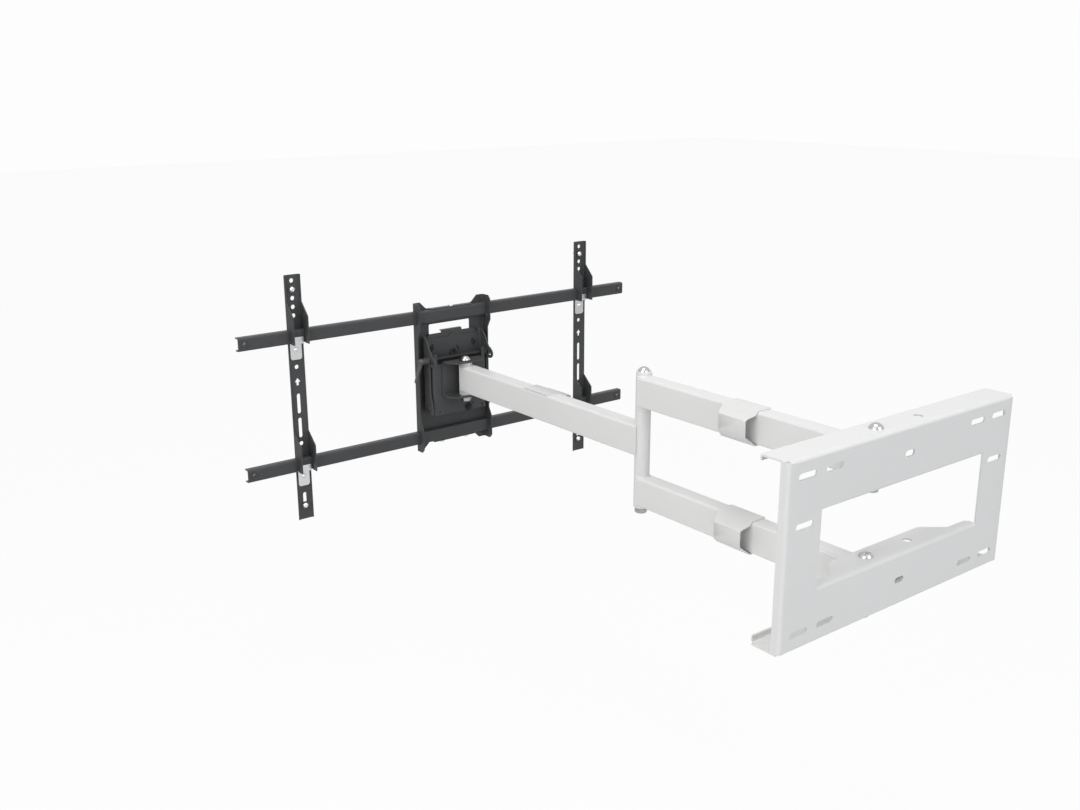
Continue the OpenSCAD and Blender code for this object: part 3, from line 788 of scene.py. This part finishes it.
@dataclass
class WallPlate:
    """The folded wall plate with its pivot bolts and nuts.

    Attributes:
        shop: The workshop.
        edge: Rounding of the sheet's edges.
        seats: Height of each bolt's seat.
        bolt_length: Length of both bolts' shanks.
        thread: Length of thread on each.
        nuts: Lower and upper height of both nuts.
    """

    shop: Workshop
    edge: float = 0.55
    seats: tuple[float, ...] = (126.0, -51.0)
    bolt_length: float = 86.0
    thread: float = 14.0
    nuts: tuple[tuple[float, float], ...] = ((41.0, 51.0), (-136.0, -126.0))

    def build(self) -> None:
        """Builds every piece."""
        shop, finishes = self.shop, self.shop.finishes
        shop.softened("wall_plate", finishes.white, "white_coat", self.edge)
        bolt = pivot_bolt(self.bolt_length, self.thread)
        shop.group(
            "wall_bolts_turned",
            [bolt.build(shop, (PIVOT_X, WALL_PIVOT_Y, seat), Along.UP) for seat in self.seats],
            finishes.nickel,
            "wall_mount",
            "nickel",
            "wall_pivot_bolts",
        )
        shop.group(
            "wall_nuts_turned",
            [
                shop.placed(
                    shop.nut(PIVOT_NUT_FLATS, PIVOT_NUT_BORE, low, high),
                    (PIVOT_X, WALL_PIVOT_Y, 0.0),
                )
                for low, high in self.nuts
            ],
            finishes.nickel,
            "wall_mount",
            "nickel",
            "wall_pivot_nuts",
        )


@dataclass
class Arms:
    """Both first-arm tubes, the forearm, the elbow's hardware and the cable clips.

    Attributes:
        shop: The workshop.
        tube_edge: Rounding of the tubes' cut edges.
        clip_edge: Rounding of the plastic clips.
        bead: Radius of the weld beads.
        sleeve: Radius of the welded sleeves.
        tube_faces: Height of both first-arm tubes' faces, above and below the middle.
        forearm_faces: Height of the forearm's upper and lower face.
        elbow_seat: Height that the elbow bolt's head stands on.
        elbow_bolt: Length of the elbow bolt's shank.
        elbow_thread: Length of thread on it.
        elbow_nut: Lower and upper height of its nut.
    """

    shop: Workshop
    tube_edge: float = 0.4
    clip_edge: float = 0.5
    bead: float = 1.6
    sleeve: float = 12.4
    tube_faces: tuple[float, ...] = (106.5, 58.5, -58.5, -106.5)
    forearm_faces: tuple[float, ...] = (26.5, -23.5)
    elbow_seat: float = 114.0
    elbow_bolt: float = 235.0
    elbow_thread: float = 13.0
    elbow_nut: tuple[float, float] = (-121.0, -111.5)

    def weld(self, name: str, body: str, seams: Sequence[tuple[float, float, int]]) -> None:
        """Lays a weld bead where a sleeve leaves its tube.

        Args:
            name: The piece's name.
            body: The body that it rides on.
            seams: Y, Z and side of each bead: 1 where the tube runs towards +Y, else -1.
        """
        beads = []
        for y, z, side in seams:
            bm = bmesh.new()
            made = bmesh.ops.create_circle(
                bm,
                cap_ends=False,
                radius=self.bead,
                segments=12,
                matrix=Matrix.Translation((self.sleeve, 0, 0))
                @ Matrix.Rotation(math.pi / 2, 4, "X"),
            )
            bmesh.ops.spin(
                bm,
                geom=made["verts"] + bm.edges[:],
                cent=(0, 0, 0),
                axis=(0, 0, 1),
                angle=math.pi * side,
                steps=28,
                use_merge=False,
                use_duplicate=False,
            )
            bmesh.ops.holes_fill(bm, edges=[e for e in bm.edges if e.is_boundary], sides=0)
            bmesh.ops.recalc_face_normals(bm, faces=bm.faces)
            beads.append(self.shop.placed(bm, (PIVOT_X, y, z)))
        self.shop.piece(name, self.shop.merged(beads), self.shop.finishes.white, body, "white_coat")

    def build(self) -> None:
        """Builds every piece."""
        finishes = self.shop.finishes
        for node in ("upper_arm_tube", "lower_arm_tube", "forearm"):
            self.shop.softened(node, finishes.white, "white_coat", self.tube_edge)
        for node in ("upper_cable_clip", "lower_cable_clip", "forearm_cable_clip"):
            self.shop.softened(node, finishes.plastic, "white_plastic", self.clip_edge, crease=60.0)
        for name, body, ends, faces in (
            ("first_arm_welds", "arm_pair", (WALL_PIVOT_Y, ELBOW_Y), self.tube_faces),
            ("forearm_welds", "forearm_body", (ELBOW_Y, HEAD_Y), self.forearm_faces),
        ):
            seams = [(y, z, side) for y, side in zip(ends, (1, -1)) for z in faces]
            self.weld(name, body, seams)
        shop = self.shop
        bolt = pivot_bolt(self.elbow_bolt, self.elbow_thread)
        shop.group(
            "elbow_bolt_turned",
            [bolt.build(shop, (PIVOT_X, ELBOW_Y, self.elbow_seat), Along.UP)],
            finishes.nickel,
            "arm_pair",
            "nickel",
            "elbow_bolt",
        )
        shop.group(
            "elbow_nut_turned",
            [
                shop.placed(
                    shop.nut(PIVOT_NUT_FLATS, PIVOT_NUT_BORE, *self.elbow_nut),
                    (PIVOT_X, ELBOW_Y, 0.0),
                )
            ],
            finishes.nickel,
            "arm_pair",
            "nickel",
            "elbow_nut",
        )


@dataclass
class Head:
    """The swivel and tilt head.

    Attributes:
        shop: The workshop.
        edge: Rounding of the black sheet's edges.
        lever_edge: Rounding of the clamp lever.
        washer_edge: Rounding of the washers between the cheeks.
        tilt_half: Half width over the tilt bracket's cheeks.
        clamp_z: Height of the clamp bolt.
        tilt_z: Height of the tilt pivot.
        stand_off: Play between the cheek and the knob or nut on it.
        seat: Height that the pivot bolt's head stands on.
        bolt_length: Length of the pivot bolt's shank.
        thread: Length of thread on it.
        nut: Lower and upper height of its nut.
        washer: Radius of its washer's hole and rim, and the washer's thickness.
        rod_out: How far the clamp bolt stands out of the left cheek, for the lever.
        knob_ribs: Radius over the knob's ribs.
        stop: Place of the stop nut's seat: across from the pivot, along Y, and height.
        stop_play: Distance from that seat to the stop screw's head.
        stop_ring: Radius of the hole and rim of the ring round the stop nut, and its thickness.
        level: Place of the levelling screws: across from the pivot, along Y, and height.
    """

    shop: Workshop
    edge: float = 0.45
    lever_edge: float = 0.5
    washer_edge: float = 0.2
    tilt_half: float = 67.0
    clamp_z: float = 39.0
    tilt_z: float = -56.0
    stand_off: float = 0.03
    seat: float = 37.5
    bolt_length: float = 82.0
    thread: float = 13.0
    nut: tuple[float, float] = (-43.5, -33.5)
    washer: tuple[float, float, float] = (6.1, 12.0, 1.5)
    rod_out: float = 13.5
    knob_ribs: float = 8.0
    stop: tuple[float, float, float] = (18.0, 974.0, -63.5)
    stop_play: float = 2.5
    stop_ring: tuple[float, float, float] = (5.9, 8.5, 1.2)
    level: tuple[float, float, float] = (48.01, 997.5, 59.0)

    def build(self) -> None:
        """Builds every piece."""
        shop, finishes = self.shop, self.shop.finishes
        for node in ("pivot_fork", "swivel_bracket", "tilt_bracket", "level_plate"):
            shop.softened(node, finishes.black, "black_coat", self.edge)
        for node in ("level_rivet_tube", "level_spacer"):
            shop.softened(node, finishes.black_oxide_and_painted_shade, "black_coat", self.edge)
        shop.softened("tilt_lever", finishes.lever, "black_coat", self.lever_edge, crease=50.0)
        shop.softened("tilt_washers", finishes.knob, "black_coat", self.washer_edge)
        self.pivot()
        self.cross_bolts()
        self.small_screws()

    def pivot(self) -> None:
        """Builds the head's pivot bolt, its washer and its nut."""
        shop, finishes = self.shop, self.shop.finishes
        bolt = pivot_bolt(self.bolt_length, self.thread)
        axis = (PIVOT_X, HEAD_Y, 0.0)
        shop.group(
            "head_bolt_turned",
            [bolt.build(shop, (PIVOT_X, HEAD_Y, self.seat), Along.UP)],
            finishes.nickel,
            "swivel_head",
            "nickel",
            "head_pivot_bolt",
        )
        bore, rim, thick = self.washer
        washer = shop.washer(bore, rim, self.seat - thick, self.seat, top_break=0.4, steps=56)
        shop.group(
            "head_washer_turned",
            [shop.placed(washer, axis)],
            finishes.dark_steel,
            "swivel_head",
            "black_coat",
        )
        shop.group(
            "head_nut_turned",
            [shop.placed(shop.nut(PIVOT_NUT_FLATS, PIVOT_NUT_BORE, *self.nut), axis)],
            finishes.nickel,
            "swivel_head",
            "nickel",
            "head_pivot_nut",
        )

    def cross_bolts(self) -> None:
        """Builds the tilt pivot, the clamp bolt and the clamp's knob."""
        shop, finishes = self.shop, self.shop.finishes
        left, right = PIVOT_X - self.tilt_half, PIVOT_X + self.tilt_half + self.stand_off
        pivot = Fastener(
            head=6.5,
            rise=4.5,
            shank=4.0,
            length=141.0,
            plain=130.0,
            drive=Drive.HEX,
            drive_size=5.0,
        )
        shop.group(
            "tilt_pivot_turned",
            [pivot.build(shop, (left, TILT_Y, self.tilt_z), Along.LEFT)],
            finishes.black_oxide_and_painted_shade,
            "swivel_head",
            "black_coat",
            "tilt_pivot_bolt",
        )
        nut = shop.nut(flats=13.0, bore=4.05, low=0.0, high=6.5)
        shop.group(
            "tilt_pivot_nut_turned",
            [shop.placed(nut, (right, TILT_Y, self.tilt_z), Along.RIGHT)],
            finishes.black_oxide_and_painted_shade,
            "swivel_head",
            "black_coat",
            "tilt_pivot_nut",
        )
        rod = Fastener(
            head=4.0, rise=0.5, shank=4.0, length=158.5, plain=138.0, pitch=1.25, flat=True
        )
        # The clamp rod is made near-black so that it reads as the shaded band under the tilt
        # bracket's web: painted shade on a rod of dark steel.
        shop.group(
            "clamp_bolt_turned",
            [rod.build(shop, (left - self.rod_out, TILT_Y, self.clamp_z), Along.LEFT)],
            finishes.black_oxide_and_painted_shade,
            "swivel_head",
            "black_coat",
            "tilt_clamp_bolt",
        )
        profile = [
            (4.05, 0.0),
            (9.0, 0.0),
            (9.0, 1.2),
            (8.7, 1.5),
            (7.2, 1.5),
            (7.2, 2.2),
            (self.knob_ribs, 3.0),
            (self.knob_ribs, 8.8),
            (6.9, 10.0),
            (4.05, 10.0),
        ]
        ribs = {self.knob_ribs: ribbed(self.knob_ribs, depth=0.9, count=12)}
        knob = shop.turned(profile, 96, ribs)
        shop.group(
            "clamp_knob_turned",
            [shop.placed(knob, (right, TILT_Y, self.clamp_z), Along.RIGHT)],
            finishes.knob,
            "swivel_head",
            "black_coat",
            "tilt_clamp_nut",
        )

    def small_screws(self) -> None:
        """Builds the stop screw, its nut, the ring round the nut and the levelling screws."""
        shop, finishes = self.shop, self.shop.finishes
        across, y, z = self.stop
        seat = (PIVOT_X + across, y, z)
        stop = Fastener(
            head=5.0, rise=3.0, shank=3.0, length=10.5, plain=3.0, flat=True, drive=Drive.HEX
        )
        nut = shop.nut(flats=10.0, bore=2.95, low=0.0, high=4.0)
        shop.group(
            "swivel_stop_turned",
            [
                stop.build(shop, (PIVOT_X + across, y + self.stop_play, z), Along.TO_ROOM),
                shop.placed(nut, seat, Along.TO_WALL),
            ],
            finishes.black_oxide_and_painted_shade,
            "swivel_head",
            "black_coat",
            "swivel_stop_screw",
        )
        bore, rim, thick = self.stop_ring
        shop.group(
            "swivel_stop_washer_turned",
            [shop.placed(shop.washer(bore, rim, 0.0, thick), seat, Along.TO_WALL)],
            finishes.black_oxide_and_painted_shade,
            "swivel_head",
            "black_coat",
        )
        across, y, z = self.level
        level = Fastener(
            head=4.2,
            rise=2.5,
            shank=2.5,
            length=7.0,
            pitch=0.8,
            flat=True,
            drive=Drive.HEX,
            drive_size=3.0,
        )
        shop.group(
            "level_screws_turned",
            [
                level.build(shop, (PIVOT_X + side * across, y, z), Along.TO_WALL)
                for side in (-1, 1)
            ],
            finishes.black_oxide_and_painted_shade,
            "screen_frame",
            "black_coat",
            "level_screws",
        )


@dataclass
class ScreenFrame:
    """The interface plate, the rails, the screen brackets and their fasteners.

    Attributes:
        shop: The workshop.
        edge: Rounding of the sheet's edges.
        washer_edge: Rounding of the washers.
        clip_edge: Rounding of the lock clips.
        rail_rows: Height of both rails.
        screw_rows: Height of the screen screws.
        stop_place: Distance of the rail's stop screws from its middle.
        stop_washer: Thickness of the stop screws' washers.
        screw_washer: Distance from the plate's face to the heads on it.
        lock_drop: How far a lock's screw lies under its rail's middle.
        rail_screw_y: Place of the rail screws along Y.
        rail_screws: Place across, height and direction of each rail screw.
    """

    shop: Workshop
    edge: float = 0.4
    washer_edge: float = 0.25
    clip_edge: float = 0.3
    rail_rows: tuple[float, float] = (120.0, -116.0)
    screw_rows: tuple[float, float] = (202.0, -198.0)
    stop_place: float = 423.5
    stop_washer: float = 1.2
    screw_washer: float = 1.5
    lock_drop: float = 25.0
    rail_screw_y: float = 1001.3
    rail_screws: tuple[tuple[float, float, Along], ...] = (
        (0.0, 134.2, Along.UP),
        (-28.0, -130.2, Along.DOWN),
        (28.0, -130.2, Along.DOWN),
    )

    def build(self) -> None:
        """Builds every piece."""
        shop, finishes = self.shop, self.shop.finishes
        for node in (
            "interface_plate",
            "upper_rail",
            "lower_rail",
            "left_tv_bracket",
            "right_tv_bracket",
        ):
            shop.softened(node, finishes.black, "black_coat", self.edge)
        for node in ("rail_stop_washers", "left_tv_washers", "right_tv_washers"):
            shop.softened(node, finishes.dark_steel, "black_coat", self.washer_edge)
        self.rail_fasteners()
        for side, place in (("left", -BRACKET_PLACE), ("right", BRACKET_PLACE)):
            self.bracket(side, PIVOT_X + place)

    def rail_fasteners(self) -> None:
        """Builds the rails' stop screws and the screws that hold the rails."""
        shop, finishes = self.shop, self.shop.finishes
        stop = Fastener(
            head=4.5,
            rise=3.2,
            shank=3.0,
            length=8.0,
            drive=Drive.CROSS,
            drive_size=4.6,
            drive_depth=1.5,
        )
        seat = RAIL_FRONT - self.stop_washer
        shop.group(
            "rail_stops_turned",
            [
                stop.build(shop, (PIVOT_X + side * self.stop_place, seat, z), Along.TO_WALL)
                for side in (-1, 1)
                for z in self.rail_rows
            ],
            finishes.dark_steel,
            "screen_frame",
            "black_coat",
            "rail_stop_screws",
        )
        hold = Fastener(
            head=4.5,
            rise=2.5,
            shank=2.5,
            length=7.0,
            pitch=0.8,
            flat=True,
            drive=Drive.CROSS,
            drive_size=4.4,
        )
        shop.group(
            "rail_screws_turned",
            [
                hold.build(shop, (PIVOT_X + across, self.rail_screw_y, z), along)
                for across, z, along in self.rail_screws
            ],
            finishes.zinc,
            "screen_frame",
            "zinc",
            "rail_screws",
        )

    def bracket(self, side: str, x: float) -> None:
        """Builds one screen bracket's screws and both its lock clips.

        Args:
            side: The bracket's side.
            x: Its place along the rails.
        """
        shop, finishes = self.shop, self.shop.finishes
        seat = PLATE_FACE - self.screw_washer
        screw = Fastener(head=5.2, rise=3.6, shank=3.0, length=18.7, plain=6.0, drive=Drive.HEX)
        shop.group(
            f"{side}_screen_screws_turned",
            [screw.build(shop, (x, seat, z), Along.TO_WALL) for z in self.screw_rows],
            finishes.zinc,
            f"{side}_bracket",
            "zinc",
            f"{side}_tv_screws",
        )
        lock = Fastener(
            head=4.6,
            rise=2.8,
            shank=3.0,
            length=3.5,
            drive=Drive.CROSS,
            drive_size=4.6,
            drive_depth=1.4,
        )
        for height, z in zip(("upper", "lower"), self.rail_rows):
            node = f"{side}_{height}_lock"
            shop.softened(f"{node}_clip", finishes.zinc, "zinc", self.clip_edge, crease=35.0)
            shop.group(
                f"{node}_screw_turned",
                [lock.build(shop, (x, seat, z - self.lock_drop), Along.TO_WALL)],
                finishes.zinc,
                node,
                "zinc",
                f"{node}_screw",
            )


@dataclass
class PlainSolids:
    """The solids whose own shape is right, which only get their finish.

    Attributes:
        finishes: The materials.
        slots: The finish of each slot of the record.
    """

    finishes: Finishes
    slots: dict[str, str] = field(
        default_factory=lambda: {
            "white_coat": "white",
            "black_coat": "black",
            "nickel": "nickel",
            "zinc": "zinc",
            "white_plastic": "plastic",
        }
    )

    def build(self) -> None:
        """Gives every shown solid its finish."""
        for part in frame["record"]["subparts"]:
            thing = frame["nodes"][part["node"]]
            if thing.hide_render:
                continue
            thing.data.materials.clear()
            thing.data.materials.append(getattr(self.finishes, self.slots[part["material_slot"]]))
            log.info("solid %s keeps its shape", part["node"])


@dataclass(frozen=True)
class Lamp:
    """One soft square lamp.

    Attributes:
        name: The lamp's name.
        at: Its place in metres.
        power: Its power in watts.
        tint: Its colour.
        size: Its side in metres.
    """

    name: str
    at: tuple[float, float, float]
    power: float
    tint: tuple[float, float, float] = (1.0, 1.0, 1.0)
    size: float = 1.8

    def hang(self, aim: tuple[float, float, float]) -> None:
        """Hangs the lamp.

        Args:
            aim: The place in metres that it looks at.
        """
        data = bpy.data.lights.new(self.name, "AREA")
        data.shape = "SQUARE"
        data.size = self.size
        data.energy = self.power
        data.color = self.tint
        thing = bpy.data.objects.new(self.name, data)
        bpy.context.scene.collection.objects.link(thing)
        turn = (Vector(aim) - Vector(self.at)).to_track_quat("-Z", "Y").to_matrix().to_4x4()
        thing.matrix_world = Matrix.Translation(self.at) @ turn


@dataclass
class Studio:
    """The floor, the lamps, the world and the camera.

    Attributes:
        eye: The camera's place in metres.
        yaw: Turn of the view from +Y towards +X, in degrees.
        pitch: Downward tilt of the view, in degrees.
        roll: Turn of the view about its own axis, in degrees.
        focal: Focal length in pixels of the frame.
        frame_width: Width of the frame in pixels.
        sensor: Width of the camera's sensor in millimetres.
        far: The distance in metres up to which the camera sees.
        floor_drop: How far the floor lies under the origin.
        floor_size: Half side of the floor in metres.
        floor_glow: Share of plain white in what the camera sees of the floor.
        ambient: Strength of the world's light.
        backdrop: Strength of the white that the camera and gloss see.
        aim: The place that the lamps look at, in metres.
        lamps: The lamps.
    """

    eye: tuple[float, float, float] = (-1.2472, -0.8280, 0.5634)
    yaw: float = 37.785
    pitch: float = 16.05
    roll: float = -0.19
    focal: float = 1156.6
    frame_width: float = 1080.0
    sensor: float = 36.0
    far: float = 50.0
    floor_drop: float = 0.55
    floor_size: float = 14.0
    floor_glow: float = 0.94
    ambient: float = 0.38
    backdrop: float = 0.985
    aim: tuple[float, float, float] = (-0.045, 0.5, 0.0)
    lamps: tuple[Lamp, ...] = (
        Lamp("top", (-0.6, 0.2, 3.2), 41.0),
        Lamp("left", (-2.6, -0.2, 1.4), 30.0),
        Lamp("front", (0.3, -2.4, 1.6), 26.0, (0.92, 0.95, 1.0)),
    )

    def build(self) -> None:
        """Sets up the whole studio."""
        scene = bpy.context.scene
        scene.view_settings.view_transform = "Standard"
        self.camera(scene)
        self.floor(scene)
        self.world(scene)
        for lamp in self.lamps:
            lamp.hang(self.aim)

    def camera(self, scene: bpy.types.Scene) -> None:
        """Places the camera at the photograph's angle.

        Args:
            scene: The scene that it goes into.
        """
        data = bpy.data.cameras.new("view")
        data.sensor_width = self.sensor
        data.lens = self.focal * self.sensor / self.frame_width
        data.clip_end = self.far
        camera = bpy.data.objects.new("view", data)
        scene.collection.objects.link(camera)
        turn = (
            Matrix.Rotation(math.radians(-self.yaw), 4, "Z")
            @ Matrix.Rotation(math.radians(90.0 - self.pitch), 4, "X")
            @ Matrix.Rotation(math.radians(self.roll), 4, "Z")
        )
        camera.matrix_world = Matrix.Translation(self.eye) @ turn
        scene.camera = camera

    def floor(self, scene: bpy.types.Scene) -> None:
        """Lays a plain pale floor under the part.

        Args:
            scene: The scene that it goes into.
        """
        bm = bmesh.new()
        bmesh.ops.create_grid(bm, x_segments=1, y_segments=1, size=self.floor_size)
        bmesh.ops.translate(bm, vec=(0, 0, -self.floor_drop), verts=bm.verts)
        mesh = bpy.data.meshes.new("floor")
        bm.to_mesh(mesh)
        bm.free()
        thing = bpy.data.objects.new("floor", mesh)
        scene.collection.objects.link(thing)
        graph = Graph(bpy.data.materials.new("floor"))
        seen = graph.add("ShaderNodeLightPath", output="Is Camera Ray")
        matt = graph.add(
            "ShaderNodeBsdfPrincipled",
            inputs={"Base Color": grey(0.82), "Roughness": 0.9, "Specular IOR Level": 0.1},
        )
        glow = graph.add("ShaderNodeEmission", inputs={"Color": grey(1.0), "Strength": 1.0})
        both = graph.add(
            "ShaderNodeMixShader", inputs={0: seen * self.floor_glow, 1: matt, 2: glow}
        )
        graph.add("ShaderNodeOutputMaterial", inputs={"Surface": both})
        mesh.materials.append(graph.owner)

    def world(self, scene: bpy.types.Scene) -> None:
        """Gives the world a soft light, and a white that the camera and gloss see.

        Args:
            scene: The scene whose world it is.
        """
        graph = Graph(bpy.data.worlds.new("studio"))
        camera, gloss = (
            graph.add("ShaderNodeLightPath", output=ray)
            for ray in ("Is Camera Ray", "Is Glossy Ray")
        )
        seen = graph.add("ShaderNodeMath", {"operation": "MAXIMUM"}, {0: camera, 1: gloss})
        soft, white = (
            graph.add("ShaderNodeBackground", inputs={"Color": grey(1.0), "Strength": strength})
            for strength in (self.ambient, self.backdrop)
        )
        both = graph.add("ShaderNodeMixShader", inputs={0: seen, 1: soft, 2: white})
        graph.add("ShaderNodeOutputWorld", inputs={"Surface": both})
        scene.world = graph.owner


def main() -> None:
    """Builds the classes in order."""
    logging.basicConfig(level=logging.INFO, format="%(message)s")
    Studio().build()
    shop = Workshop(Finishes())
    WallPlate(shop).build()
    Arms(shop).build()
    Head(shop).build()
    ScreenFrame(shop).build()
    PlainSolids(shop.finishes).build()


if __name__ == "__main__":
    main()
